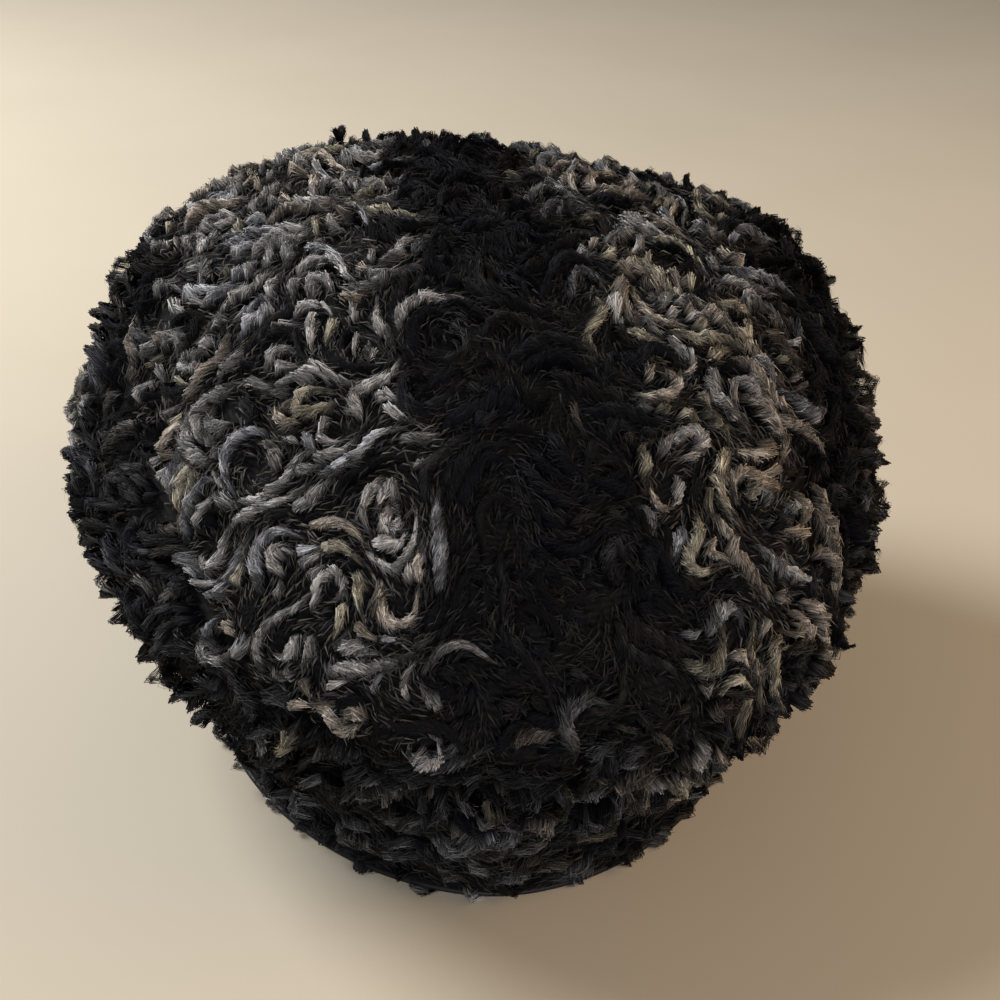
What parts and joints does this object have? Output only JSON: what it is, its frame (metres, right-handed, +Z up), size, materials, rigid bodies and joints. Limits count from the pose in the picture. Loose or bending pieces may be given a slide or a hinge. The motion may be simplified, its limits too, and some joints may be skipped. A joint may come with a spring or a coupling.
{
  "type": "faux fur beret",
  "caption": "Soft round beret of curly faux fur: striped grey and near-black disc, bulging side panel, upright band and a thin turned edge.",
  "frame": {"origin": "on the surface that the hat stands on, under the centre of its bounding box", "axes": "+Z up through the crown, +Y toward the nape and -Y toward the forehead, +X toward the wearer's left"},
  "size_m": [0.2638, 0.2578, 0.1603],
  "materials": {
    "striped_pile": "curly pile, matte with a soft sheen, grey-tipped bands on near-black",
    "side_pile": "curly pile, matte with a soft sheen, near-black with grey-tipped patches",
    "band_pile": "curly pile, matte with a soft sheen, near-black",
    "edge_cloth": "smooth woven lining cloth, satin"
  },
  "bodies": {
    "root": {"crown_top": "striped_pile", "crown_side": "side_pile", "headband": "band_pile", "lining_edge": "edge_cloth"}
  },
  "joints": []
}
